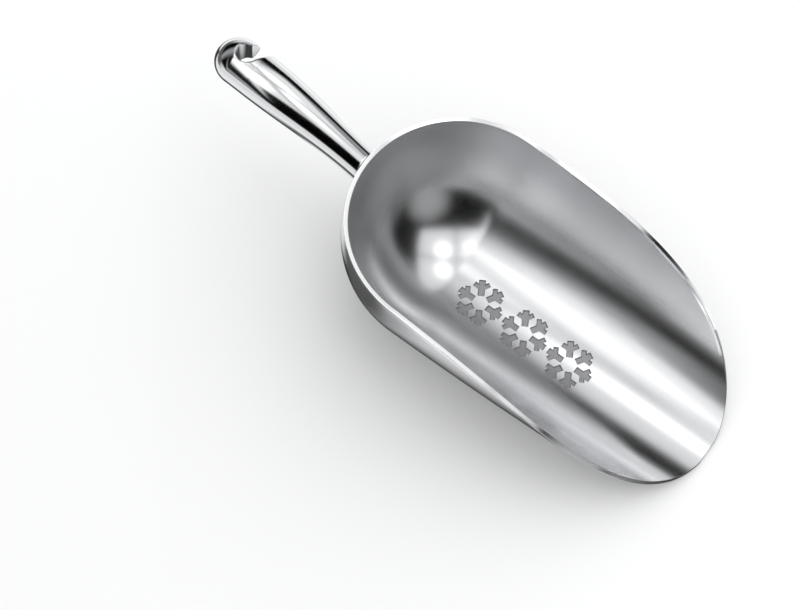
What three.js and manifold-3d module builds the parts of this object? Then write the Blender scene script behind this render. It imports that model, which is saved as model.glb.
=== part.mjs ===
// Polished metal ice scoop: a pressed bowl, a solid handle with a hanging hook, and the weld between them.
// Millimetres, +Z up, +X towards the lip. z = 0 is the level that the scoop stands on,
// x = 0 is the centre of the ball-shaped back, and y = 0 is the scoop's middle.
import * as THREE from 'three';
import { mergeVertices } from 'three/addons/utils/BufferGeometryUtils.js';
import Module from 'manifold-3d';

const radians = THREE.MathUtils.degToRad;

// ---- bowl sizes ----
const WALL = 2.0;                       // thickness of the sheet
const BACK_RADIUS = 52;                 // radius of the round back, and half the bowl's width
const WAIST_HEIGHT = 47;                // height at which the bowl is widest, before grinding
const TUCK_HEIGHT = 60;                 // upper half-axis: how gently the wall leans in above the waist
const TUCK_ANGLE = radians(34);         // how far up that curve the block is made, past the rim
const REACH = 139;                      // from the centre of the back to the lip
const LIP_NARROWING = 5;                // fall of the half-width from the back to the lip
const STANDING_FLAT = 0.45;             // ground off the underside so that the scoop stands still

const RIM_HEIGHT = 61;                  // rim above the standing level at x = 0
const RIM_SLOPE = radians(2);           // fall of the rim towards the lip
const RIM_SWEEP_START = -39;            // x at which the rim starts its sweep down to the lip
const RIM_SWEEP_POWER = 3;

// ---- handle sizes ----
const HANDLE_LENGTH = 83.8;             // along its centreline, from the wall of the bowl
const HANDLE_ROOT_HEIGHT = 50.2;
const HANDLE_SLOPE_AT_BOWL = radians(22.5);
const HANDLE_SLOPE_AT_TIP = radians(4.7);
const ROOT_HALF_WIDTH = 7.85;
const TIP_HALF_WIDTH = 11.2;
const ROOT_FLATNESS = 0.85;             // thickness over width
const TIP_FLATNESS = 0.75;
const SWELL_LENGTH = 63;                // length over which the handle widens
const BURIED_LENGTH = 6;                // run of the bar past the wall, before it is trimmed to the wall

// ---- hook sizes ----
const HOLE_RADIUS = 4.7;
const HOLE_FROM_TIP = 13.1;             // along the centreline
const HOLE_OFFSET = 2.5;                // towards the open side, +Y
const SLOT_WIDTH = 7.2;
const SLOT_PAST_CENTRE = 2.5;           // how far the slot reaches past the hole's centre, towards the tip
const SLOT_ANGLE = radians(22);         // from +Y towards the bowl

// ---- weld sizes ----
const WELD_REACH = 1.8;                 // of the ground fillet, along the handle and along the wall
const WELD_EDGE = 0.3;                  // thickness that its thin edges keep

// ---- stamped ice crystals ----
const STAMP_DEPTH = 0.6;
const CRYSTAL_COUNT = 3;
const CRYSTAL_RADIUS = 11.6;
const CRYSTAL_PITCH = 25;
const FIRST_CRYSTAL = new THREE.Vector2(17, -4);
const ARM_WIDTH = 3.2;
const ARM_START = 3.6;                  // bare middle of the crystal
const BARB_WIDTH = 2.4;
const BARB_LENGTH = 4.2;
const BARB_START = 7.4;                 // along the arm

const FIT_GAP = 0.3;                    // between pieces that meet

// ---- mesh steps ----
const SECTION_STEPS = 26;               // keel to waist
const TUCK_STEPS = 6;
const BACK_SIDES = 72;
const TROUGH_STEPS = 16;
const RIM_STEPS = 60;
const HANDLE_STEPS = 30;
const TIP_STEPS = 12;
const HANDLE_SIDES = 48;
const WELD_STEPS = 8;

const wasm = await Module();
wasm.setup();

// ---- helpers ----
function toSolid(geometry) {
  const bare = geometry.clone();
  bare.deleteAttribute('normal');
  bare.deleteAttribute('uv');
  const merged = mergeVertices(bare, 1e-4);
  return new wasm.Manifold(new wasm.Mesh({
    numProp: 3,
    vertProperties: new Float32Array(merged.attributes.position.array),
    triVerts: new Uint32Array(merged.index.array),
  }));
}

function toGeometry(solid) {
  const mesh = solid.getMesh();
  const geometry = new THREE.BufferGeometry();
  geometry.setAttribute('position', new THREE.BufferAttribute(mesh.vertProperties, 3));
  geometry.setIndex(new THREE.BufferAttribute(mesh.triVerts, 1));
  geometry.computeVertexNormals();
  return geometry;
}

// Moves every vertex of a geometry by a function that changes its place.
function reshape(geometry, move) {
  const places = geometry.attributes.position;
  const point = new THREE.Vector3();
  for (let i = 0; i < places.count; i += 1) {
    move(point.fromBufferAttribute(places, i));
    places.setXYZ(i, point.x, point.y, point.z);
  }
  return geometry;
}

// A profile turned about the X axis: its points are [distance from the axis, x].
function turnedAlongX(profile, sides) {
  return new THREE.LatheGeometry(profile, sides).rotateZ(-Math.PI / 2);
}

// ---- bowl ----
// Height of the rim at x: it falls slightly, then sweeps down to the lip at the standing level.
function rimHeight(x) {
  const along = Math.max(0, (x - RIM_SWEEP_START) / (REACH - RIM_SWEEP_START));
  return (RIM_HEIGHT - x * Math.tan(RIM_SLOPE)) * (1 - along ** RIM_SWEEP_POWER);
}

// Half of the bowl's section as (half-width, height), from the keel up, shrunk inwards by inset.
function sectionPoints(inset) {
  const radius = BACK_RADIUS - inset;
  const below = WAIST_HEIGHT - inset;
  const above = TUCK_HEIGHT - inset;
  const waist = WAIST_HEIGHT - STANDING_FLAT;
  const points = [];
  for (let i = 0; i <= SECTION_STEPS; i += 1) {
    const angle = (i / SECTION_STEPS) * Math.PI / 2;
    points.push(new THREE.Vector2(radius * Math.sin(angle), waist - below * Math.cos(angle)));
  }
  for (let i = 1; i <= TUCK_STEPS; i += 1) {
    const angle = (i / TUCK_STEPS) * TUCK_ANGLE;
    points.push(new THREE.Vector2(radius * Math.cos(angle), waist + above * Math.sin(angle)));
  }
  return points;
}

// The bowl as a solid block: a turned back, joined to a trough that narrows towards the lip.
function bowlBlock(inset, troughLength) {
  const section = sectionPoints(inset);
  const top = section[section.length - 1].y;
  const back = new THREE.LatheGeometry([...section, new THREE.Vector2(0, top)], BACK_SIDES);
  back.rotateX(Math.PI / 2);

  const otherHalf = section.slice(1).reverse().map((point) => new THREE.Vector2(-point.x, point.y));
  const outline = new THREE.Shape([...section, ...otherHalf]);
  const options = { depth: troughLength, steps: TROUGH_STEPS, bevelEnabled: false };
  const trough = new THREE.ExtrudeGeometry(outline, options).rotateX(Math.PI / 2).rotateZ(Math.PI / 2);
  reshape(trough, (point) => {
    point.y *= 1 - (LIP_NARROWING / BACK_RADIUS) * (point.x / REACH) ** 2;
  });
  return toSolid(back).add(toSolid(trough));
}

// Everything above the rim line and beyond the lip, as a slab across the whole width.
function outsideRim() {
  const behind = -2 * BACK_RADIUS;
  const ahead = 2 * REACH;
  const line = [];
  for (let i = 0; i <= RIM_STEPS; i += 1) {
    const x = REACH - (REACH - RIM_SWEEP_START) * (i / RIM_STEPS) ** 1.5;
    line.push(new THREE.Vector2(x, rimHeight(x)));
  }
  line.push(
    new THREE.Vector2(behind, rimHeight(behind)),
    new THREE.Vector2(behind, 2 * RIM_HEIGHT),
    new THREE.Vector2(ahead, 2 * RIM_HEIGHT),
    new THREE.Vector2(ahead, -RIM_HEIGHT),
    new THREE.Vector2(REACH, -RIM_HEIGHT),
  );
  const width = 3 * BACK_RADIUS;
  const slab = new THREE.ExtrudeGeometry(new THREE.Shape(line), { depth: width, bevelEnabled: false });
  return toSolid(slab.rotateX(Math.PI / 2).translate(0, width / 2, 0));
}

// A six-armed ice crystal with a pair of barbs on each arm, as upright bars.
function iceCrystal(x, y) {
  const bar = (length, width, start, lean, distance, turn) => {
    const box = new THREE.BoxGeometry(length, width, WAIST_HEIGHT);
    box.translate(start + length / 2, 0, 0).rotateZ(lean).translate(distance, 0, 0).rotateZ(turn);
    return toSolid(box.translate(x, y, 0));
  };
  const arms = 6;
  const step = 2 * Math.PI / arms;
  const bars = [];
  for (let i = 0; i < arms; i += 1) {
    const turn = i * step;
    bars.push(bar(CRYSTAL_RADIUS - ARM_START, ARM_WIDTH, ARM_START, 0, 0, turn));
    bars.push(bar(BARB_LENGTH, BARB_WIDTH, 0, step, BARB_START, turn));
    bars.push(bar(BARB_LENGTH, BARB_WIDTH, 0, -step, BARB_START, turn));
  }
  return wasm.Manifold.union(bars);
}

function makeBowl() {
  const block = bowlBlock(0, REACH + WALL);
  const stampLimit = bowlBlock(WALL - STAMP_DEPTH, REACH + WALL);
  let cavity = bowlBlock(WALL, REACH + WALL);
  for (let i = 0; i < CRYSTAL_COUNT; i += 1) {
    const crystal = iceCrystal(FIRST_CRYSTAL.x + i * CRYSTAL_PITCH, FIRST_CRYSTAL.y);
    cavity = cavity.add(crystal.intersect(stampLimit));
  }
  const ground = new THREE.BoxGeometry(4 * REACH, 4 * BACK_RADIUS, RIM_HEIGHT);
  ground.translate(0, 0, -RIM_HEIGHT / 2);
  return block.subtract(toSolid(ground)).subtract(cavity).subtract(outsideRim());
}

// ---- handle ----
const handleArcRadius = HANDLE_LENGTH / (HANDLE_SLOPE_AT_BOWL - HANDLE_SLOPE_AT_TIP);

function handleSlope(along) {
  return HANDLE_SLOPE_AT_BOWL - along / handleArcRadius;
}

// Bends a straight bar (x along it, z through its thickness) onto the centreline's arc behind the bowl.
function bendAlongHandle(point) {
  const slope = handleSlope(point.x);
  const radius = handleArcRadius + point.z;
  const rootAcross = handleArcRadius * Math.sin(HANDLE_SLOPE_AT_BOWL);
  const rootDown = handleArcRadius * Math.cos(HANDLE_SLOPE_AT_BOWL);
  point.set(
    -BACK_RADIUS - rootAcross + radius * Math.sin(slope),
    -point.y,
    HANDLE_ROOT_HEIGHT - rootDown + radius * Math.cos(slope),
  );
}

function handleHalfWidth(along) {
  const share = THREE.MathUtils.clamp(along / SWELL_LENGTH, 0, 1);
  return THREE.MathUtils.lerp(ROOT_HALF_WIDTH, TIP_HALF_WIDTH, (1 - Math.cos(Math.PI * share)) / 2);
}

function handleFlatness(along) {
  return THREE.MathUtils.lerp(ROOT_FLATNESS, TIP_FLATNESS, THREE.MathUtils.clamp(along / SWELL_LENGTH, 0, 1));
}

// A round-ended turned bar, flattened and bent; extra makes it fatter all round.
function handleBar(extra) {
  const tipStart = HANDLE_LENGTH - TIP_HALF_WIDTH;
  const profile = [new THREE.Vector2(0, -BURIED_LENGTH)];
  for (let i = 0; i <= HANDLE_STEPS; i += 1) {
    const along = THREE.MathUtils.lerp(-BURIED_LENGTH, tipStart, i / HANDLE_STEPS);
    profile.push(new THREE.Vector2(handleHalfWidth(along) + extra, along));
  }
  const tipRadius = TIP_HALF_WIDTH + extra;
  for (let i = 1; i < TIP_STEPS; i += 1) {
    const angle = (i / TIP_STEPS) * Math.PI / 2;
    profile.push(new THREE.Vector2(tipRadius * Math.cos(angle), tipStart + tipRadius * Math.sin(angle)));
  }
  profile.push(new THREE.Vector2(0, tipStart + tipRadius));
  const bar = reshape(turnedAlongX(profile, HANDLE_SIDES), (point) => {
    point.z *= handleFlatness(point.x);
    bendAlongHandle(point);
  });
  return toSolid(bar);
}

// The hanging hole, and the slot that opens it to the +Y side.
function hookOpening() {
  const depth = 4 * TIP_HALF_WIDTH;
  const reach = 3 * TIP_HALF_WIDTH;
  const centre = new THREE.Vector3(HANDLE_LENGTH - HOLE_FROM_TIP, -HOLE_OFFSET, 0);
  const slope = handleSlope(centre.x);
  bendAlongHandle(centre);
  const place = (geometry) => toSolid(geometry.rotateY(slope).translate(centre.x, centre.y, centre.z));

  const hole = new THREE.CylinderGeometry(HOLE_RADIUS, HOLE_RADIUS, depth, HANDLE_SIDES);
  const slot = new THREE.BoxGeometry(SLOT_WIDTH, reach, depth);
  slot.translate(SLOT_WIDTH / 2 - SLOT_PAST_CENTRE, reach / 2, 0).rotateZ(-SLOT_ANGLE);
  return place(hole.rotateX(Math.PI / 2)).add(place(slot));
}

// The bowl's back, grown by the gap that the pieces behind it keep.
function backWithGap() {
  return bowlBlock(-FIT_GAP, WALL);
}

function makeHandle() {
  return handleBar(0).subtract(backWithGap()).subtract(hookOpening());
}

// ---- weld ----
// The ground fillet that joins handle and bowl: a hollow-flanked collar that lies along the wall.
function makeWeld() {
  const inner = ROOT_HALF_WIDTH + FIT_GAP + WELD_EDGE;
  const foot = FIT_GAP + WELD_EDGE;
  const profile = [
    new THREE.Vector2(0, -BURIED_LENGTH),
    new THREE.Vector2(inner + WELD_REACH, -BURIED_LENGTH),
  ];
  for (let i = 0; i <= WELD_STEPS; i += 1) {
    const angle = (i / WELD_STEPS) * Math.PI / 2;
    const across = inner + WELD_REACH * (1 - Math.sin(angle));
    profile.push(new THREE.Vector2(across, foot + WELD_REACH * (1 - Math.cos(angle))));
  }
  profile.push(new THREE.Vector2(0, foot + WELD_REACH));
  const collar = reshape(turnedAlongX(profile, HANDLE_SIDES), (point) => {
    point.z *= ROOT_FLATNESS;
    point.x += point.z * Math.tan(HANDLE_SLOPE_AT_BOWL);
    bendAlongHandle(point);
  });
  return toSolid(collar).subtract(backWithGap()).subtract(handleBar(FIT_GAP));
}

// ---- assembly ----
function piece(name, solid, material) {
  const mesh = new THREE.Mesh(toGeometry(solid), new THREE.MeshStandardMaterial(material));
  mesh.name = name;
  return mesh;
}

const scoop = new THREE.Group();
scoop.add(piece('bowl', makeBowl(), { color: '#c9cacd', roughness: 0.22, metalness: 1 }));
scoop.add(piece('handle', makeHandle(), { color: '#d6d6d8', roughness: 0.07, metalness: 1 }));
scoop.add(piece('handle_weld', makeWeld(), { color: '#cfcfd1', roughness: 0.15, metalness: 1 }));

export default scoop;
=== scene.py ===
"""Polished metal ice scoop: its finished surfaces, the studio round it and the camera.

The shapes are worked out in millimetres, in the frame's own axes: +X towards the lip, +Z up.
Each builder hands its points to make_piece, which turns them into metres.
"""
import functools
import math

import bpy
import numpy as np
from mathutils import Matrix, Vector
from mathutils.geometry import delaunay_2d_cdt


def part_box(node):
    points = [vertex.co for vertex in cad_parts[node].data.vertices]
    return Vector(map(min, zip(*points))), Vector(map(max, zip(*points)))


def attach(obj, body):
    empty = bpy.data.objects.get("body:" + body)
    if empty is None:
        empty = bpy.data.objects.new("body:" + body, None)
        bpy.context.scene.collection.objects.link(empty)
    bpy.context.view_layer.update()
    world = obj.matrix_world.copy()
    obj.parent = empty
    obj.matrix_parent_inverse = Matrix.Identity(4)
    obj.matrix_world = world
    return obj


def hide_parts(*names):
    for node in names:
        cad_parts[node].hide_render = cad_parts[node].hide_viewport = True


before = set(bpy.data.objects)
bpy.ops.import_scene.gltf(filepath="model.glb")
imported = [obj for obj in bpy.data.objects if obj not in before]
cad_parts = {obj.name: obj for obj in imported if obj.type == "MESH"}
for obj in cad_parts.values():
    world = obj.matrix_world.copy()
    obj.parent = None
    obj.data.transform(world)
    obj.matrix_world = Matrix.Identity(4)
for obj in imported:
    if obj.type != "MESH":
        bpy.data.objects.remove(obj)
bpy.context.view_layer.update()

MM = 0.001
bowl_high = np.array(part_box("bowl")[1]) / MM

# ---- bowl sizes ----
BACK_RADIUS = bowl_high[1]
REACH = bowl_high[0]
WALL = 2.0
LIP_NARROWING = 5.0
STANDING_FLAT = 0.45
WAIST = 47.0 - STANDING_FLAT
BELOW_WAIST = 47.0
ABOVE_WAIST = 60.0
RIM_HEIGHT = 61.0
RIM_SLOPE = math.tan(math.radians(2))
RIM_SWEEP_START = -39.0
RIM_SWEEP_POWER = 3
RIM_ROUNDING = 0.22
ROUNDING_STEPS = 4

# ---- the bowl's grid: lines from the keel to the rim, and rows across them ----
# LAST_FOOT is how far forward the lip's lines start on the keel.
ROWS = 48
BACK_LINES = 72
TROUGH_LINES = 120
LIP_LINES = 5
LAST_FOOT = 96.0
HIGHEST_RIM = math.radians(90 + 34)
KEEL_EDGE = math.acos(WAIST / BELOW_WAIST)
KEEL_ROWS = 4
KEEL_LIMIT = 0.75
ON_SURFACE = 1e-3
BOWL_METALS = ["satin", "stamped", "rim", "outer"]

# ---- handle sizes ----
HANDLE_LENGTH = 83.8
HANDLE_ROOT_HEIGHT = 50.2
SLOPE_AT_BOWL = math.radians(22.5)
SLOPE_AT_TIP = math.radians(4.7)
ROOT_HALF_WIDTH = 7.85
TIP_HALF_WIDTH = 11.2
ROOT_FLATNESS = 0.85
TIP_FLATNESS = 0.75
SWELL_LENGTH = 63.0
HOLE_RADIUS = 4.7
HOLE_FROM_TIP = 13.1
HOLE_OFFSET = 2.5
SLOT_WIDTH = 7.2
SLOT_PAST_CENTRE = 2.5
SLOT_ANGLE = math.radians(22)
HOOK_ROUNDING = 0.9
OPENING_ROUNDING = 0.5
HANDLE_VOXEL = 0.4
HANDLE_PASSES = 8
INSIDE_CAD = 0.03
GAP_AT_BOWL = 0.05

# ---- weld sizes ----
WELD_REACH = 1.8
WELD_BURIED = 0.25
WELD_SIDES = 120
WELD_STEPS = 12
WELD_CREASE = math.radians(50)
WELD_SEARCH = (-6.0, 8.0)

# ---- stamped ice crystals ----
CRYSTAL_COUNT = 3
CRYSTAL_RADIUS = 11.6
CRYSTAL_PITCH = 25.0
FIRST_CRYSTAL = np.array([17.0, -4.0])
ARM_WIDTH = 3.2
ARM_START = 3.6
BARB_WIDTH = 2.4
BARB_LENGTH = 4.2
BARB_START = 7.4
STAMP_DEPTH = 0.6
# The share of the stamp's depth that is reached at each distance inside an outline.
STAMP_INSETS = [0.0, 0.09, 0.27, 0.36]
STAMP_SHARES = [0.0, 0.12, 0.88, 1.0]
STAMP_TOLERANCE = 0.01
# The part of the plan whose inner surface is meshed finely, for the crystals.
STAMPED_AREA = np.array([[-3.0, -24.0], [88.0, 16.0]])
FLOOR_TOLERANCE = 0.5
OUTLINE_STEP = 0.8
OUTLINE_CLEARANCE = 0.75
PATCH_SPACING = 0.9
PATCH_CLEARANCE = 0.54


# ---- making pieces ----
def make_piece(name, points, faces, materials,
               normals=None, corner_normals=None, face_materials=None):
    """A mesh object from points in millimetres, riding on the scoop's one body."""
    mesh = bpy.data.meshes.new(name)
    mesh.from_pydata((np.asarray(points) * MM).tolist(), [], [list(face) for face in faces])
    mesh.polygons.foreach_set("use_smooth", [True] * len(mesh.polygons))
    for material in materials:
        mesh.materials.append(material)
    if face_materials is not None:
        mesh.polygons.foreach_set("material_index", face_materials)
    if normals is not None:
        mesh.normals_split_custom_set_from_vertices(normals)
    if corner_normals is not None:
        mesh.normals_split_custom_set(corner_normals)
    piece = bpy.data.objects.new(name, mesh)
    bpy.context.scene.collection.objects.link(piece)
    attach(piece, "root")
    return piece


def welded(points, faces):
    """Merges points that lie in the same place, and drops the faces that this leaves without area."""
    keys = np.round(np.asarray(points) / ON_SURFACE).astype(np.int64)
    _, first, inverse = np.unique(keys, axis=0, return_index=True, return_inverse=True)
    inverse = inverse.reshape(-1)
    kept = []
    for face in faces:
        ring = []
        for index in inverse[list(face)]:
            if not ring or ring[-1] != index:
                ring.append(int(index))
        if len(ring) > 1 and ring[0] == ring[-1]:
            ring.pop()
        if len(set(ring)) >= 3:
            kept.append(ring)
    return np.asarray(points)[first], kept


def unit(vectors):
    return vectors / np.maximum(np.linalg.norm(vectors, axis=-1, keepdims=True), 1e-12)


def curve(start, corner, end, steps):
    """Points of the smooth curve from start to end that turns at a corner."""
    share = np.linspace(0, 1, steps + 1)[None, :, None]
    turning = 2 * share * (1 - share) * corner[:, None]
    return (1 - share) ** 2 * start[:, None] + turning + share ** 2 * end[:, None]


# ---- bowl surface ----
def rim_height(x):
    along = np.maximum(0, (x - RIM_SWEEP_START) / (REACH - RIM_SWEEP_START))
    return (RIM_HEIGHT - x * RIM_SLOPE) * (1 - along ** RIM_SWEEP_POWER)


def narrowing(x):
    return 1 - LIP_NARROWING / BACK_RADIUS * (np.maximum(x, 0) / REACH) ** 2


def section(angle, inset):
    """Distance from the middle and height on the bowl's section, at an angle up from the keel."""
    reach = (BACK_RADIUS - inset) * np.sin(angle)
    rise = np.where(angle < math.pi / 2, BELOW_WAIST - inset, ABOVE_WAIST - inset)
    return reach, WAIST - rise * np.cos(angle)


def surface(lines, angle, inset):
    """Points of the bowl's surface on lines given as (x, share backwards, share sideways)."""
    x, back, side = lines
    reach, height = section(angle, inset)
    if inset == 0:
        height = np.maximum(height, 0)
    return np.stack([x - back * reach, side * narrowing(x) * reach, height], -1)


def surface_normal(points, inset):
    """The bowl's outward normal at points of its surface."""
    x, y, z = points[..., 0], points[..., 1], points[..., 2]
    reach = BACK_RADIUS - inset
    rise = np.where(z < WAIST, BELOW_WAIST - inset, ABOVE_WAIST - inset)
    width = narrowing(x)
    slope = -2 * LIP_NARROWING / BACK_RADIUS * np.maximum(x, 0) / REACH ** 2
    along = np.where(x < 0, x / reach ** 2, -y ** 2 * slope / (width ** 3 * reach ** 2))
    normal = np.stack([along, y / (width * reach) ** 2, (z - WAIST) / rise ** 2], -1)
    normal = unit(normal)
    if inset == 0:
        normal = np.where((z <= 1e-6)[..., None], np.array([0.0, 0.0, -1.0]), normal)
    return normal


def floor_height(x, y):
    """Height of the bowl's inner surface over a point of the plan."""
    reach = BACK_RADIUS - WALL
    across = np.where(x < 0, x ** 2, 0) + (y / narrowing(x)) ** 2
    return WAIST - (BELOW_WAIST - WALL) * np.sqrt(np.maximum(0, 1 - across / reach ** 2))


def rim_angle(lines):
    """The section angle at which each line of the outer surface meets the rim."""
    low = np.zeros_like(lines[0])
    high = np.full_like(lines[0], HIGHEST_RIM)
    for _ in range(50):
        middle = (low + high) / 2
        x, back, side = lines
        reach, height = section(middle, 0)
        above = height > rim_height(x - back * reach)
        high = np.where(above, middle, high)
        low = np.where(above, low, middle)
    return (low + high) / 2


def bowl_lines():
    """Lines from the keel to the rim: fanned round the back, then along the trough and round the lip."""
    turn = np.linspace(0, math.pi / 2, BACK_LINES + 1)
    back = (np.zeros_like(turn), np.cos(turn), np.sin(turn))

    rim_x = REACH * np.sin(np.linspace(0, math.pi / 2, TROUGH_LINES + 1)[1:])
    trough_angle = rim_angle((rim_x, np.zeros_like(rim_x), np.ones_like(rim_x)))
    lip_angle = trough_angle[-1] * (1 - np.linspace(0, 1, LIP_LINES + 1)[1:])
    rim_x = np.append(rim_x, np.full(LIP_LINES, REACH))
    foot_x = LAST_FOOT * np.linspace(0, 1, len(rim_x) + 1)[1:]

    share = np.linspace(0, 1, ROWS + 1)
    one = np.ones(ROWS + 1)
    x = np.concatenate([
        np.zeros((len(turn), ROWS + 1)),
        foot_x[:, None] + (rim_x - foot_x)[:, None] * share,
    ])
    backwards = np.concatenate([back[1][:, None] * one, np.zeros((len(rim_x), ROWS + 1))])
    sideways = np.concatenate([back[2][:, None] * one, np.ones((len(rim_x), ROWS + 1))])

    # One row lies along the edge of the standing flat, but never above a set share of the rim's
    # angle, because the rim comes down to the flat at the lip.
    rim = np.concatenate([rim_angle(back), trough_angle, lip_angle])[:, None]
    keel = np.minimum(KEEL_EDGE, KEEL_LIMIT * rim)
    keel_share = KEEL_ROWS / ROWS
    angle = np.where(
        share < keel_share,
        keel * share / keel_share,
        keel + (rim - keel) * (share - keel_share) / (1 - keel_share),
    )
    return (x, backwards, sideways), angle


def rounded_corner(corner, before, after):
    """Points of a small rounding at a corner, between the directions of its two neighbours."""
    start = corner + RIM_ROUNDING * unit(before - corner)
    end = corner + RIM_ROUNDING * unit(after - corner)
    return curve(start, corner, end, ROUNDING_STEPS)


def grid_faces(columns, rows, first=0):
    """Quads of a grid whose points are numbered along each column."""
    faces = []
    for column in range(columns - 1):
        for row in range(rows - 1):
            corner = first + column * rows + row
            faces.append((corner, corner + 1, corner + rows + 1, corner + rows))
    return faces


# ---- stamped crystals ----
def arm_outline():
    """One arm of an ice crystal as a closed outline along +X, with a barb on each side."""
    half = ARM_WIDTH / 2
    lean = np.array([math.cos(math.pi / 3), math.sin(math.pi / 3)])
    aside = np.array([-lean[1], lean[0]]) * BARB_WIDTH / 2
    root = np.array([BARB_START, 0.0])

    def leaves_arm(point):
        return point + lean * (half - point[1]) / lean[1]

    upper = [
        np.array([ARM_START, half]),
        leaves_arm(root + aside),
        root + aside + lean * BARB_LENGTH,
        root - aside + lean * BARB_LENGTH,
        leaves_arm(root - aside),
        np.array([CRYSTAL_RADIUS, half]),
    ]
    lower = [point * np.array([1, -1]) for point in reversed(upper)]
    return np.array(lower + upper)


def crystal_outlines():
    outlines = []
    for index in range(CRYSTAL_COUNT):
        centre = FIRST_CRYSTAL + np.array([index * CRYSTAL_PITCH, 0.0])
        for arm in range(6):
            turn = arm * math.pi / 3
            turned = np.array([[math.cos(turn), math.sin(turn)], [-math.sin(turn), math.cos(turn)]])
            outlines.append(arm_outline() @ turned + centre)
    return outlines


def inset_outline(outline, distance):
    """A closed outline moved inwards by a distance, with mitred corners."""
    ahead = unit(np.roll(outline, -1, 0) - outline)
    inward = np.stack([ahead[:, 1], -ahead[:, 0]], -1)
    before = np.roll(inward, 1, 0)
    mitre = inward + before
    mitre /= (mitre * inward).sum(1, keepdims=True)
    return outline + distance * mitre


def distance_to(points, outline):
    """How far each plan point lies from a closed outline."""
    edge = np.roll(outline, -1, 0) - outline
    offset = points[:, None] - outline[None]
    share = np.clip((offset * edge).sum(-1) / (edge ** 2).sum(-1), 0, 1)
    return np.linalg.norm(offset - share[..., None] * edge, axis=-1).min(1)


def is_inside(points, outline):
    """Which plan points lie inside a closed outline."""
    edge = np.roll(outline, -1, 0) - outline
    start_y, end_y = outline[None, :, 1], np.roll(outline, -1, 0)[None, :, 1]
    y = points[:, None, 1]
    crosses = (start_y > y) != (end_y > y)
    with np.errstate(divide="ignore", invalid="ignore"):
        crossing_x = outline[None, :, 0] + (y - start_y) / (end_y - start_y) * edge[None, :, 0]
    return (crosses & (points[:, None, 0] < crossing_x)).sum(1) % 2 == 1


def depth_inside(points, outlines):
    """How far each plan point lies inside an outline, or 0 outside them all."""
    depth = np.zeros(len(points))
    for outline in outlines:
        deeper = np.maximum(depth, distance_to(points, outline))
        depth = np.where(is_inside(points, outline), deeper, depth)
    return depth


def finely_divided(outline):
    """A closed outline with extra points along its sides."""
    points = []
    for start, end in zip(outline, np.roll(outline, -1, 0)):
        pieces = max(1, round(float(np.linalg.norm(end - start)) / OUTLINE_STEP))
        points += [start + (end - start) * k / pieces for k in range(pieces)]
    return points


def loose_points(boundary, outlines):
    """Evenly staggered points inside a boundary, clear of it and of the outlines."""
    low, high = boundary.min(0), boundary.max(0)
    across = np.arange(low[0], high[0], PATCH_SPACING)
    up = np.arange(low[1], high[1], PATCH_SPACING)
    points = np.array([(x + PATCH_SPACING / 2 * (k % 2), y) for k, y in enumerate(up) for x in across])
    clear = depth_inside(points, [boundary]) > PATCH_CLEARANCE
    for outline in outlines:
        clear &= distance_to(points, outline) >= OUTLINE_CLEARANCE
    return points[clear]


def stamped_patch(boundary):
    """The part of the floor inside a boundary, with the crystals pressed into it."""
    outlines = crystal_outlines()
    coordinates = list(boundary)
    edges = []
    for outline in outlines:
        for inset in STAMP_INSETS:
            ring = finely_divided(inset_outline(outline, inset))
            first = len(coordinates)
            coordinates += ring
            edges += [(first + k, first + (k + 1) % len(ring)) for k in range(len(ring))]
    coordinates += list(loose_points(boundary, outlines))
    border = [list(range(len(boundary)))]
    result = delaunay_2d_cdt([Vector(point) for point in coordinates], edges, border, 1, 1e-6)
    plan = np.array([tuple(point) for point in result[0]])
    sunk = STAMP_DEPTH * np.interp(depth_inside(plan, outlines), STAMP_INSETS, STAMP_SHARES)
    points = np.column_stack([plan, floor_height(plan[:, 0], plan[:, 1]) - sunk])
    return points, [tuple(face) for face in result[2]]


def surface_level(points, inset):
    """How far points lie from the bowl's surface, in roughly millimetres."""
    x, y, z = points.T
    reach = BACK_RADIUS - inset
    rise = np.where(z < WAIST, BELOW_WAIST - inset, ABOVE_WAIST - inset)
    across = np.where(x < 0, x ** 2, 0) + (y / narrowing(x)) ** 2
    return (np.sqrt(across / reach ** 2 + ((z - WAIST) / rise) ** 2) - 1) * reach


def bowl_shading(points, faces):
    """Exact normals for every face corner, and the number of each face's material in BOWL_METALS."""
    x, y, z = points.T
    outward = surface_normal(points, 0.0)
    inward = -surface_normal(points, WALL)
    on_outside = (np.abs(surface_level(points, 0.0)) < ON_SURFACE) | (z < 1e-6)
    level = surface_level(points, WALL)
    near_floor = (z < WAIST / 2) & (level > -STAMP_TOLERANCE)
    sunk = np.where(near_floor, floor_height(x, y) - z, 0)
    in_crystal = (sunk > STAMP_TOLERANCE) & (sunk < STAMP_DEPTH + STAMP_TOLERANCE) & (level < WALL / 2)
    on_inside = (np.abs(level) < ON_SURFACE) | (np.abs(sunk - STAMP_DEPTH) < STAMP_TOLERANCE)
    corner_normals, face_materials = [], []
    for face in faces:
        ring = list(face)
        a, b, c = points[ring[:3]]
        flat = unit(np.cross(b - a, c - a))
        outside = on_outside[ring].all()
        stamped = in_crystal[ring].any() and not outside
        if stamped:
            metal_name = "stamped"
        elif outside:
            metal_name = "outer"
        else:
            metal_name = "satin" if on_inside[ring].all() else "rim"
        face_materials.append(BOWL_METALS.index(metal_name))
        level_bottom = stamped and np.ptp(sunk[ring]) < STAMP_TOLERANCE
        for k in ring:
            if level_bottom or (not stamped and on_inside[k] and flat @ inward[k] > 0.5):
                corner_normals.append(inward[k])
            elif not stamped and on_outside[k] and flat @ outward[k] > 0.5:
                corner_normals.append(outward[k])
            else:
                corner_normals.append(flat)
    return corner_normals, face_materials


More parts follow.
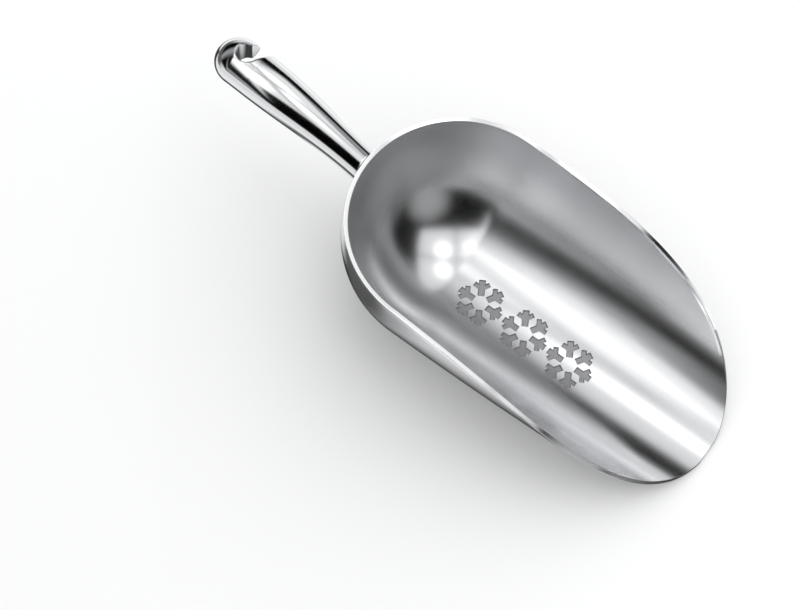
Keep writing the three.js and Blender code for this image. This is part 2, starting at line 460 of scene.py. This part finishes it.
def over_stamped_area(points, faces):
    """Which faces belong to the part of the inner floor that the stamped patch replaces."""
    middles = np.array([points[ring].mean(0) for ring in faces])
    low, high = STAMPED_AREA
    in_area = ((middles[:, :2] > low) & (middles[:, :2] < high)).all(1)
    off_floor = np.abs(middles[:, 2] - floor_height(middles[:, 0], middles[:, 1]))
    return in_area & (off_floor < FLOOR_TOLERANCE)


def border_of(faces):
    """The points round a patch of faces, in order."""
    edges = [edge for ring in faces for edge in zip(ring, ring[1:] + ring[:1])]
    paired = set(edges)
    after = {start: end for start, end in edges if (end, start) not in paired}
    border = [next(iter(after))]
    while after[border[-1]] != border[0]:
        border.append(after[border[-1]])
    return border


def make_bowl(metals):
    lines, angle = bowl_lines()
    outer = surface(lines, angle, 0.0)
    inner = surface(lines, angle, WALL)
    outer_edge = rounded_corner(outer[:, -1], outer[:, -2], inner[:, -1])
    inner_edge = rounded_corner(inner[:, -1], outer[:, -1], inner[:, -2])
    loop = np.concatenate([outer[:, :-1], outer_edge, inner_edge, inner[:, -2::-1]], 1)
    columns, length = loop.shape[:2]
    points, faces = [], []
    for side in (1, -1):
        faces += [face[::side] for face in grid_faces(columns, length, len(points))]
        points.extend(loop.reshape(-1, 3) * np.array([1, side, 1]))
    points, faces = welded(points, faces)

    # The inner faces over the stamped area give way to the finer patch.
    covered = over_stamped_area(points, faces)
    border = border_of([ring for ring, hidden in zip(faces, covered) if hidden])
    patch_points, patch_faces = stamped_patch(points[border][:, :2])
    faces = [ring for ring, hidden in zip(faces, covered) if not hidden]
    faces += [tuple(len(points) + index for index in face) for face in patch_faces]
    points, faces = welded(np.vstack([points, patch_points]), faces)

    corner_normals, face_materials = bowl_shading(points, faces)
    materials = [metals[name] for name in BOWL_METALS]
    bowl = make_piece("bowl_shell", points, faces, materials,
                      corner_normals=corner_normals, face_materials=face_materials)
    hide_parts("bowl")


# ---- handle surface ----
ARC_RADIUS = HANDLE_LENGTH / (SLOPE_AT_BOWL - SLOPE_AT_TIP)
ARC_CENTRE = np.array([
    -BACK_RADIUS - ARC_RADIUS * math.sin(SLOPE_AT_BOWL),
    0.0,
    HANDLE_ROOT_HEIGHT - ARC_RADIUS * math.cos(SLOPE_AT_BOWL),
])


def handle_half_width(along):
    share = np.clip(along / SWELL_LENGTH, 0, 1)
    return ROOT_HALF_WIDTH + (TIP_HALF_WIDTH - ROOT_HALF_WIDTH) * (1 - np.cos(math.pi * share)) / 2


def handle_flatness(along):
    return ROOT_FLATNESS + (TIP_FLATNESS - ROOT_FLATNESS) * np.clip(along / SWELL_LENGTH, 0, 1)


def along_handle(points):
    """World points as (along the centreline, sideways, through the thickness)."""
    offset = points - ARC_CENTRE
    slope = np.arctan2(offset[..., 0], offset[..., 2])
    along = (SLOPE_AT_BOWL - slope) * ARC_RADIUS
    return along, points[..., 1], np.hypot(offset[..., 0], offset[..., 2]) - ARC_RADIUS


def from_handle(along, sideways, through):
    """World points from places measured along the handle."""
    slope = SLOPE_AT_BOWL - along / ARC_RADIUS
    radius = ARC_RADIUS + through
    return np.stack([
        ARC_CENTRE[0] + radius * np.sin(slope),
        sideways + 0 * along,
        ARC_CENTRE[2] + radius * np.cos(slope),
    ], -1)


def smooth_max(a, b, size):
    """The larger of two numbers, rounded over where they are nearly equal."""
    gap = np.clip(0.5 + 0.5 * (a - b) / size, 0, 1)
    return b + (a - b) * gap + size * gap * (1 - gap)


def bar_field(points):
    """Below 0 inside the handle's bar before the hook is cut."""
    along, sideways, through = along_handle(points)
    half = handle_half_width(along)
    past = np.maximum(along - (HANDLE_LENGTH - TIP_HALF_WIDTH), 0)
    thick = half * handle_flatness(along)
    level = np.sqrt((sideways / half) ** 2 + (through / thick) ** 2 + (past / half) ** 2)
    steep = np.sqrt((sideways / half ** 2) ** 2 + (through / thick ** 2) ** 2 + (past / half ** 2) ** 2)
    return (level - 1) * level / np.maximum(steep, 1e-3)


def opening_field(points):
    """Below 0 inside the hook's hole and its side slot."""
    hole_along = HANDLE_LENGTH - HOLE_FROM_TIP
    slope = SLOPE_AT_BOWL - hole_along / ARC_RADIUS
    centre = from_handle(np.array(hole_along), HOLE_OFFSET, 0.0)
    towards_bowl = np.array([math.cos(slope), 0.0, -math.sin(slope)])
    offset = points - centre
    u, v = offset @ towards_bowl, offset[..., 1]
    hole = np.hypot(u, v) - HOLE_RADIUS
    across = u * math.cos(SLOT_ANGLE) - v * math.sin(SLOT_ANGLE)
    outwards = u * math.sin(SLOT_ANGLE) + v * math.cos(SLOT_ANGLE)
    slot_end = SLOT_WIDTH - SLOT_PAST_CENTRE
    slot = np.maximum(np.maximum(-across - SLOT_PAST_CENTRE, across - slot_end), -outwards)
    return -smooth_max(-hole, -slot, OPENING_ROUNDING)


def bowl_outside_field(points):
    """Above 0 outside the bowl's back."""
    x, y, z = points[..., 0], points[..., 1], points[..., 2]
    rise = np.where(z < WAIST, BELOW_WAIST, ABOVE_WAIST)
    level = np.sqrt((x ** 2 + y ** 2) / BACK_RADIUS ** 2 + ((z - WAIST) / rise) ** 2)
    return (level - 1) * BACK_RADIUS


def handle_field(points):
    """Below 0 inside the handle, in roughly millimetres."""
    hooked = smooth_max(bar_field(points), -opening_field(points), HOOK_ROUNDING)
    return np.maximum(hooked + INSIDE_CAD, GAP_AT_BOWL - bowl_outside_field(points))


def gradient(field, points):
    step = 1e-3
    return np.stack([
        (field(points + step * axis) - field(points - step * axis)) / (2 * step) for axis in np.eye(3)
    ], -1)


def make_handle(material):
    """The CAD handle, remeshed finely and then drawn onto its exact rounded surface."""
    rough = bpy.data.objects.new("rough_handle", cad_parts["handle"].data.copy())
    bpy.context.scene.collection.objects.link(rough)
    remesh = rough.modifiers.new("fine", "REMESH")
    remesh.mode = "VOXEL"
    remesh.voxel_size = HANDLE_VOXEL * MM
    remesh.adaptivity = 0
    depsgraph = bpy.context.evaluated_depsgraph_get()
    fine = bpy.data.meshes.new_from_object(rough.evaluated_get(depsgraph))
    points = np.array([tuple(vertex.co) for vertex in fine.vertices]) / MM
    faces = [tuple(polygon.vertices) for polygon in fine.polygons]
    bpy.data.objects.remove(rough)
    bpy.data.meshes.remove(fine)
    for _ in range(HANDLE_PASSES):
        slope = gradient(handle_field, points)
        steepness = np.maximum((slope ** 2).sum(1, keepdims=True), 0.05)
        move = handle_field(points)[:, None] * slope / steepness
        points = points - np.clip(move, -HANDLE_VOXEL, HANDLE_VOXEL)
    normals = unit(gradient(handle_field, points))
    handle = make_piece("handle_bar", points, faces, [material], normals=normals)
    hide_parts("handle")


def make_weld(material):
    """The hollow fillet of ground weld metal round the handle's root."""
    turn = np.linspace(0, 2 * math.pi, WELD_SIDES, endpoint=False)

    def on_handle(along):
        half = handle_half_width(along)
        return from_handle(along, half * np.cos(turn), half * handle_flatness(along) * np.sin(turn))

    # Where each line along the handle comes out of the bowl's wall.
    low, high = (np.full(WELD_SIDES, along) for along in WELD_SEARCH)
    for _ in range(40):
        middle = (low + high) / 2
        outside = bowl_outside_field(on_handle(middle)) > 0
        high = np.where(outside, middle, high)
        low = np.where(outside, low, middle)
    meeting = on_handle(high)
    upper = on_handle(high + WELD_REACH)
    wall_normal = surface_normal(meeting, 0.0)
    outward = meeting - from_handle(high, 0.0 * turn, 0.0 * turn)
    outward = unit(outward - (outward * wall_normal).sum(1, keepdims=True) * wall_normal)
    foot = meeting + WELD_REACH * outward
    foot = foot - bowl_outside_field(foot)[:, None] * surface_normal(foot, 0.0)
    buried = meeting - WELD_BURIED * unit(upper + foot - 2 * meeting)
    rings = np.concatenate([curve(upper, meeting, foot, WELD_STEPS), buried[:, None]], 1)
    count = rings.shape[1]
    faces = []
    for side in range(WELD_SIDES):
        here, after = side * count, (side + 1) % WELD_SIDES * count
        for step in range(count):
            ahead = (step + 1) % count
            faces.append((here + step, after + step, after + ahead, here + ahead))
    weld = make_piece("weld_fillet", rings.reshape(-1, 3), faces, [material])
    weld.data.set_sharp_from_angle(angle=WELD_CREASE)
    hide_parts("handle_weld")


# ---- materials ----
def metres(*sizes):
    return [size * MM for size in sizes]


class Formula:
    """Builds numbers out of shader nodes, so that a pattern can be written as a sum."""

    def __init__(self, tree):
        self.tree = tree

    def node(self, kind, **settings):
        made = self.tree.nodes.new(kind)
        for name, value in settings.items():
            setattr(made, name, value)
        return made

    def fill(self, socket, value):
        if isinstance(value, bpy.types.NodeSocket):
            self.tree.links.new(value, socket)
        else:
            socket.default_value = value

    def math(self, operation, *values):
        made = self.node("ShaderNodeMath", operation=operation)
        for socket, value in zip(made.inputs, values):
            self.fill(socket, value)
        return made.outputs[0]

    def plus(self, *values):
        return functools.reduce(lambda a, b: self.math("ADD", a, b), values)

    def minus(self, a, b):
        return self.math("SUBTRACT", a, b)

    def times(self, *values):
        return functools.reduce(lambda a, b: self.math("MULTIPLY", a, b), values)

    def largest(self, *values):
        return functools.reduce(lambda a, b: self.math("MAXIMUM", a, b), values)

    def absolute(self, value):
        return self.math("ABSOLUTE", value)

    def dot(self, vector, axis):
        made = self.node("ShaderNodeVectorMath", operation="DOT_PRODUCT")
        self.fill(made.inputs[0], vector)
        self.fill(made.inputs[1], axis)
        return made.outputs["Value"]

    def distance(self, vector, place):
        made = self.node("ShaderNodeVectorMath", operation="DISTANCE")
        self.fill(made.inputs[0], vector)
        self.fill(made.inputs[1], place)
        return made.outputs["Value"]

    def rise(self, value, start, end, low=0.0, high=1.0):
        """Goes smoothly from low to high as the value goes from start to end."""
        made = self.node("ShaderNodeMapRange", interpolation_type="SMOOTHSTEP")
        for name, given in (("Value", value), ("From Min", start), ("From Max", end)):
            self.fill(made.inputs[name], given)
        self.fill(made.inputs["To Min"], low)
        self.fill(made.inputs["To Max"], high)
        return made.outputs["Result"]

    def fall(self, value, start, end, high=1.0):
        """Goes smoothly from high to 0 as the value goes from start to end."""
        return self.rise(value, start, end, high, 0.0)

    def window(self, value, low, high, soft):
        """1 between low and high, and 0 outside, with soft edges."""
        up = self.rise(value, low - soft, low + soft)
        return self.times(up, self.fall(value, high - soft, high + soft))

    def mix(self, share, low, high):
        return self.plus(self.times(self.minus(1.0, share), low), self.times(share, high))

    def noise(self, vector, scale, detail=2.0, stretch=(1, 1, 1)):
        """Smooth noise from 0 to 1, with scale in waves per millimetre."""
        mapping = self.node("ShaderNodeMapping")
        self.fill(mapping.inputs["Vector"], vector)
        mapping.inputs["Scale"].default_value = [scale * share / MM for share in stretch]
        made = self.node("ShaderNodeTexNoise")
        self.fill(made.inputs["Vector"], mapping.outputs[0])
        made.inputs["Scale"].default_value = 1.0
        made.inputs["Detail"].default_value = detail
        return made.outputs["Fac"]

    def colour(self, share, low, high):
        """Mixes two colours, each given as three numbers or as a socket."""
        made = self.node("ShaderNodeMix", data_type="RGBA")
        self.fill(made.inputs["Factor"], share)
        for socket, value in ((made.inputs["A"], low), (made.inputs["B"], high)):
            self.fill(socket, value if isinstance(value, bpy.types.NodeSocket) else (*value, 1))
        return made.outputs["Result"]

    def bump(self, height, strength, distance):
        made = self.node("ShaderNodeBump")
        self.fill(made.inputs["Height"], height)
        made.inputs["Strength"].default_value = strength
        made.inputs["Distance"].default_value = distance * MM
        return made.outputs["Normal"]


# The bowl's walls take on their own polish between two heights. The grain is left out there, and
# comes back where the change is this far from halfway.
WALLS_START = (12.0, 30.0)
GRAIN_RETURNS = (0.44, 0.5)
CLOUD_SCALE = 0.045
CLOUD_HAZE = 0.25
SHARP_EDGE_LIGHTENING = (0.52, 0.60)


def new_material(name):
    """A metal material, with its formula, its shader and the place on the object."""
    material = bpy.data.materials.new(name)
    material.use_nodes = True
    formula = Formula(material.node_tree)
    shader = material.node_tree.nodes["Principled BSDF"]
    shader.inputs["Metallic"].default_value = 1.0
    return material, formula, shader, formula.node("ShaderNodeTexCoord").outputs["Object"]


def metal(name, dull, bright, roughness, grain, grain_scale, grain_stretch, grain_depth,
          coarser=1.0, wall_colour=None):
    """Polished metal: cloudy polish, fine polishing grain, and lighter metal along sharp outward edges.

    With a wall_colour, the metal takes on that colour up the bowl's walls, and its polish gets
    coarser by a factor. The polish is even where it changes, so that the change shows no grain.
    """
    material, formula, shader, place = new_material(name)
    clouds = formula.noise(place, CLOUD_SCALE, 3.0)
    lines = formula.noise(place, grain_scale, 2.0, grain_stretch)
    pointiness = formula.node("ShaderNodeNewGeometry").outputs["Pointiness"]
    # Lighter base colour where pointiness marks a sharp outward edge.
    lighter_at_edges = formula.rise(pointiness, *SHARP_EDGE_LIGHTENING)
    shade = formula.colour(formula.largest(clouds, lighter_at_edges), dull, bright)
    haze = formula.times(formula.minus(clouds, 0.5), CLOUD_HAZE)
    streaks = formula.times(formula.minus(lines, 0.5), grain)
    uneven = formula.plus(haze, streaks)
    if wall_colour:
        walls = formula.rise(formula.dot(place, (0, 0, 1)), *metres(*WALLS_START))
        shade = formula.colour(walls, shade, wall_colour)
        from_halfway = formula.absolute(formula.minus(walls, 0.5))
        uneven = formula.times(uneven, formula.rise(from_halfway, *GRAIN_RETURNS))
        roughness = formula.times(roughness, formula.mix(walls, 1.0, coarser))
    formula.fill(shader.inputs["Base Color"], shade)
    formula.fill(shader.inputs["Roughness"], formula.times(roughness, formula.plus(1.0, uneven)))
    formula.fill(shader.inputs["Normal"], formula.bump(lines, 1.0, grain_depth))
    return material


def stamped_metal():
    """The crystals' matt floor, left unpolished by the stamp: darker, with fine pits."""
    material, formula, shader, place = new_material("stamped_metal")
    pits = formula.noise(place, 3.0, 4.0)
    clouds = formula.noise(place, 0.2, 2.0)
    shade = formula.colour(clouds, (0.42, 0.42, 0.43), (0.54, 0.54, 0.55))
    formula.fill(shader.inputs["Base Color"], shade)
    formula.fill(shader.inputs["Roughness"], formula.rise(pits, 0.2, 0.8, 0.42, 0.6))
    formula.fill(shader.inputs["Normal"], formula.bump(pits, 0.6, 0.03))
    return material


def make_metals():
    """The scoop's metals. Where polishing ran along the bowl or the handle, the grain is long in X."""
    return {
        "satin": metal(
            "satin_metal", (0.70, 0.705, 0.715), (0.78, 0.785, 0.795), roughness=0.2, grain=0.35,
            grain_scale=1.4, grain_stretch=(0.06, 1, 1), grain_depth=0.0008,
            coarser=2.1, wall_colour=(0.93, 0.935, 0.945),
        ),
        "stamped": stamped_metal(),
        "rim": metal(
            "rim_metal", (0.90, 0.905, 0.91), (0.96, 0.96, 0.965), roughness=0.14, grain=0.3,
            grain_scale=1.2, grain_stretch=(1, 1, 0.1), grain_depth=0.0008,
        ),
        "outer": metal(
            "outer_metal", (0.72, 0.725, 0.735), (0.80, 0.805, 0.815), roughness=0.15, grain=0.35,
            grain_scale=1.4, grain_stretch=(0.06, 1, 1), grain_depth=0.001,
        ),
        "mirror": metal(
            "mirror_metal", (0.76, 0.765, 0.775), (0.82, 0.825, 0.835), roughness=0.11, grain=0.3,
            grain_scale=1.2, grain_stretch=(0.08, 1, 1), grain_depth=0.0006,
        ),
        "weld": metal(
            "weld_metal", (0.70, 0.705, 0.715), (0.78, 0.785, 0.795), roughness=0.15, grain=0.5,
            grain_scale=1.6, grain_stretch=(1, 1, 0.3), grain_depth=0.003,
        ),
    }


# ---- camera ----
CAMERA_ELEVATION = math.radians(68.05)
CAMERA_AZIMUTH = math.radians(37.43)
CAMERA_PLACE = Vector((122.24, -202.7, 549.41)) * MM
SENSOR_WIDTH = 36
LENS = 1.5905 * SENSOR_WIDTH
CLOSEST_VIEW = 0.01
PICTURE_RIGHT = Vector((math.cos(CAMERA_AZIMUTH), math.sin(CAMERA_AZIMUTH), 0))
PICTURE_AWAY = Vector((-math.sin(CAMERA_AZIMUTH), math.cos(CAMERA_AZIMUTH), 0))


def make_camera():
    """Looks down at the scoop from in front of its near side, as a product photographer would."""
    forward = PICTURE_AWAY * math.cos(CAMERA_ELEVATION) - Vector((0, 0, math.sin(CAMERA_ELEVATION)))
    up = PICTURE_RIGHT.cross(forward)
    camera = bpy.data.objects.new("camera", bpy.data.cameras.new("camera"))
    bpy.context.scene.collection.objects.link(camera)
    camera.matrix_world = Matrix((PICTURE_RIGHT, up, -forward)).transposed().to_4x4()
    camera.location = CAMERA_PLACE
    camera.data.sensor_width = SENSOR_WIDTH
    camera.data.lens = LENS
    camera.data.clip_start = CLOSEST_VIEW
    bpy.context.scene.camera = camera


# ---- floor ----
FLOOR_SIZE = 12000.0
FLOOR_DROP = 0.2
FLOOR_PAPER = 0.86
PAPER_IN_METAL = 0.88
SHADE_IN_METAL = 0.05
SHADE_ASIDE = (40.0, 85.0)
LIGHT_BEHIND_BOWL = (-98.0, -62.0)
LIGHT_BEHIND_BOWL_EDGE = 8.0
CORNER_PLACE = (-65.0, -70.0, 0.0)
CORNER_REACH = (30.0, 85.0)
CORNER_SHADE = 0.92
CORNER_START = (30.0, 50.0)


def make_floor():
    """Pale paper. What the metal mirrors of it carries a painted shadow under and beside the scoop and
    near one corner, but not behind the bowl.
    """
    bpy.ops.mesh.primitive_plane_add(size=FLOOR_SIZE * MM, location=(0, 0, -FLOOR_DROP * MM))
    floor = bpy.context.object
    floor.name = "studio_floor"
    material = bpy.data.materials.new("floor_paper")
    material.use_nodes = True
    formula = Formula(material.node_tree)
    shader = material.node_tree.nodes["Principled BSDF"]
    seen_in_metal = formula.node("ShaderNodeLightPath").outputs["Is Glossy Ray"]
    place = formula.node("ShaderNodeNewGeometry").outputs["Position"]
    x, y = formula.dot(place, (1, 0, 0)), formula.dot(place, (0, 1, 0))
    # Painted shadow: only glossy rays see the paper darkened under and beside the scoop and near one
    # corner; behind the bowl it is left light.
    lit = formula.window(x, *metres(*LIGHT_BEHIND_BOWL, LIGHT_BEHIND_BOWL_EDGE))
    beside = formula.fall(formula.absolute(y), *metres(*SHADE_ASIDE))
    beside = formula.times(beside, formula.minus(1.0, lit))
    from_corner = formula.distance(place, metres(*CORNER_PLACE))
    corner = formula.times(
        formula.fall(from_corner, *metres(*CORNER_REACH), CORNER_SHADE),
        formula.rise(formula.times(y, -1.0), *metres(*CORNER_START)),
    )
    mirrored = formula.mix(formula.largest(beside, corner), PAPER_IN_METAL, SHADE_IN_METAL)
    formula.fill(shader.inputs["Base Color"], formula.mix(seen_in_metal, FLOOR_PAPER, mirrored))
    shader.inputs["Roughness"].default_value = 0.9
    shader.inputs["Specular IOR Level"].default_value = 0.0
    floor.data.materials.append(material)


# ---- studio ----
# Places overhead are distances for a height of 1: right and away as the picture lies, along and
# across as the scoop lies. A pair holds a band's two edges, or where a soft edge starts and ends.
LAMPS_RIGHT = (-0.17, 0.25)
LAMPS_AWAY = (-0.03, 0.33)
LAMP_EDGE = (0.05, 0.21)
LAMP_GLOW = 1.5
TUBE_ACROSS = (-0.62, -0.24)
TUBE_SOFT = 0.12
TUBE_END = (-0.05, 0.08)
TUBE_GLOW = 0.4
SEAM_RIGHT = (0.01, 0.07)
SEAM_RIGHT_SOFT = 0.05
SEAM_AWAY = (0.08, 0.15)
SEAM_AWAY_SOFT = 0.06
LONG_SEAM_ACROSS = (-0.13, -0.03)
LONG_SEAM_SOFT = 0.06
LONG_SEAM_END = (0.0, 0.12)
SEAM_SHADE = 0.5
PANEL_RIGHT = (-0.9, 0.78)
PANEL_AWAY = (-0.42, 0.95)
PANEL_SOFT = 0.08
PANEL_GLOW = 0.97
STRIP_ALONG = (-0.9, -0.07)
STRIP_SOFT = 0.05
NEAR_SLANT = 5.5
NEAR_EDGE = (-2.0, -1.5)
FAR_SLANT = 4.7
FAR_EDGE = (1.43, 2.03)
OVERHEAD_START = (0.2, 0.3)
GAP_RIGHT = (-2.1, 2.6)
GAP_RIGHT_SOFT = 0.40
GAP_AWAY = (-2.5, 2.9)
GAP_AWAY_SOFT = 0.55
GREY_GAP_AWAY = (0.4, 1.0)
GREY_GAP_SOFT = 0.3
GREY_GAP_GLOW = 0.38
ROOM_GLOW = 0.13
SIDE_WALL_START = (0.45, 0.85)
SIDE_WALL_GLOW = 0.75
PATCH_DIRECTION = Vector((0.81, -0.27, 0.52)).normalized()
PATCH_EDGE = (0.90, 1.0)
PATCH_GLOW = 0.42
CARD_NEAR_EDGE = (-4.1, -3.1)
CARD_ALONG = (-0.7, -0.5)
CARD_HEIGHT = (0.32, 0.45)
CARD_GLOW = 0.42
LOWEST_HEIGHT = 0.05
EVEN_LIGHT = 0.87
LIGHT_COLOUR = (0.99, 0.995, 1.0, 1)
BACKDROP_COLOUR = (0.95, 0.95, 0.95, 1)


def panel_glow(formula, right, away, along, across):
    """The softbox's own brightness: four lamps and a tube behind cloth, and darker seams."""
    lamps = 0.0
    for lamp_right in LAMPS_RIGHT:
        for lamp_away in LAMPS_AWAY:
            from_right = formula.math("POWER", formula.minus(right, lamp_right), 2.0)
            from_away = formula.math("POWER", formula.minus(away, lamp_away), 2.0)
            distance = formula.math("SQRT", formula.plus(from_right, from_away))
            lamps = formula.plus(lamps, formula.fall(distance, *LAMP_EDGE))
    tube = formula.times(
        formula.window(across, *TUBE_ACROSS, TUBE_SOFT),
        formula.fall(along, *TUBE_END),
    )
    long_seam = formula.times(
        formula.window(across, *LONG_SEAM_ACROSS, LONG_SEAM_SOFT),
        formula.fall(along, *LONG_SEAM_END),
    )
    seams = formula.largest(
        formula.window(right, *SEAM_RIGHT, SEAM_RIGHT_SOFT),
        formula.window(away, *SEAM_AWAY, SEAM_AWAY_SOFT),
        long_seam,
    )
    lit = formula.plus(PANEL_GLOW, formula.times(lamps, LAMP_GLOW), formula.times(tube, TUBE_GLOW))
    return formula.times(lit, formula.minus(1.0, formula.times(seams, SEAM_SHADE)))


def studio_glow(formula, direction):
    """An overhead softbox, a dark gap round it, and a dim room with pale walls at the sides."""
    height = formula.dot(direction, (0, 0, 1))
    above = formula.largest(height, LOWEST_HEIGHT)
    right, away, along, across = (
        formula.math("DIVIDE", formula.dot(direction, axis), above)
        for axis in (PICTURE_RIGHT, PICTURE_AWAY, (1, 0, 0), (0, 1, 0))
    )
    near_side = formula.plus(across, formula.times(along, NEAR_SLANT))
    far_side = formula.minus(across, formula.times(along, FAR_SLANT))
    overhead = formula.rise(height, *OVERHEAD_START)
    panel = formula.times(
        formula.window(right, *PANEL_RIGHT, PANEL_SOFT),
        formula.window(away, *PANEL_AWAY, PANEL_SOFT),
    )
    softbox = formula.times(
        formula.largest(panel, formula.window(along, *STRIP_ALONG, STRIP_SOFT)),
        overhead,
        formula.rise(near_side, *NEAR_EDGE),
        formula.fall(far_side, *FAR_EDGE),
    )
    gap = formula.times(
        formula.window(right, *GAP_RIGHT, GAP_RIGHT_SOFT),
        formula.window(away, *GAP_AWAY, GAP_AWAY_SOFT),
        overhead,
    )
    grey_gap = formula.times(formula.window(away, *GREY_GAP_AWAY, GREY_GAP_SOFT), GREY_GAP_GLOW)
    sideways = formula.absolute(formula.dot(direction, (0, 1, 0)))
    room = formula.plus(ROOM_GLOW, formula.rise(sideways, *SIDE_WALL_START, 0.0, SIDE_WALL_GLOW))
    patch = formula.rise(formula.dot(direction, PATCH_DIRECTION), *PATCH_EDGE)
    card = formula.times(
        formula.fall(near_side, *CARD_NEAR_EDGE, CARD_GLOW),
        formula.rise(along, *CARD_ALONG),
        formula.rise(height, *CARD_HEIGHT),
    )
    around = formula.plus(formula.mix(gap, room, grey_gap), formula.times(patch, PATCH_GLOW), card)
    return formula.mix(softbox, around, panel_glow(formula, right, away, along, across))


def make_world():
    """The metal mirrors the studio; everything else gets even light, and the camera a plain backdrop."""
    world = bpy.data.worlds.new("studio")
    bpy.context.scene.world = world
    world.use_nodes = True
    tree = world.node_tree
    formula = Formula(tree)
    glow = studio_glow(formula, formula.node("ShaderNodeTexCoord").outputs["Generated"])
    path = formula.node("ShaderNodeLightPath")
    studio = tree.nodes["Background"]
    formula.fill(studio.inputs["Strength"], formula.mix(path.outputs["Is Diffuse Ray"], glow, EVEN_LIGHT))
    studio.inputs["Color"].default_value = LIGHT_COLOUR
    backdrop = formula.node("ShaderNodeBackground")
    backdrop.inputs["Color"].default_value = BACKDROP_COLOUR
    switch = formula.node("ShaderNodeMixShader")
    tree.links.new(path.outputs["Is Camera Ray"], switch.inputs[0])
    tree.links.new(studio.outputs[0], switch.inputs[1])
    tree.links.new(backdrop.outputs[0], switch.inputs[2])
    tree.links.new(switch.outputs[0], tree.nodes["World Output"].inputs["Surface"])


KEY_SIZE = 1700.0
KEY_DISTANCE = 1100.0
KEY_ENERGY = 9
KEY_TARGET = Vector((40.0, 0.0, 20.0))
KEY_TOWARDS = (PICTURE_RIGHT * 0.6 + PICTURE_AWAY * 0.45 + Vector((0, 0, 1.0))).normalized()


def make_key_light():
    """A large soft light from behind on the right, which throws the shadow forwards to the left."""
    light = bpy.data.lights.new("key_softbox", "AREA")
    light.shape = "SQUARE"
    light.size = KEY_SIZE * MM
    light.energy = KEY_ENERGY
    key = bpy.data.objects.new("key_softbox", light)
    bpy.context.scene.collection.objects.link(key)
    key.location = (KEY_TARGET + KEY_TOWARDS * KEY_DISTANCE) * MM
    key.rotation_euler = KEY_TOWARDS.to_track_quat("Z", "Y").to_euler()
    key.visible_glossy = False
    key.visible_camera = False


bpy.context.scene.view_settings.view_transform = "Standard"
make_camera()
make_floor()
make_world()
make_key_light()
metals = make_metals()
make_bowl(metals)
make_handle(metals["mirror"])
make_weld(metals["weld"])
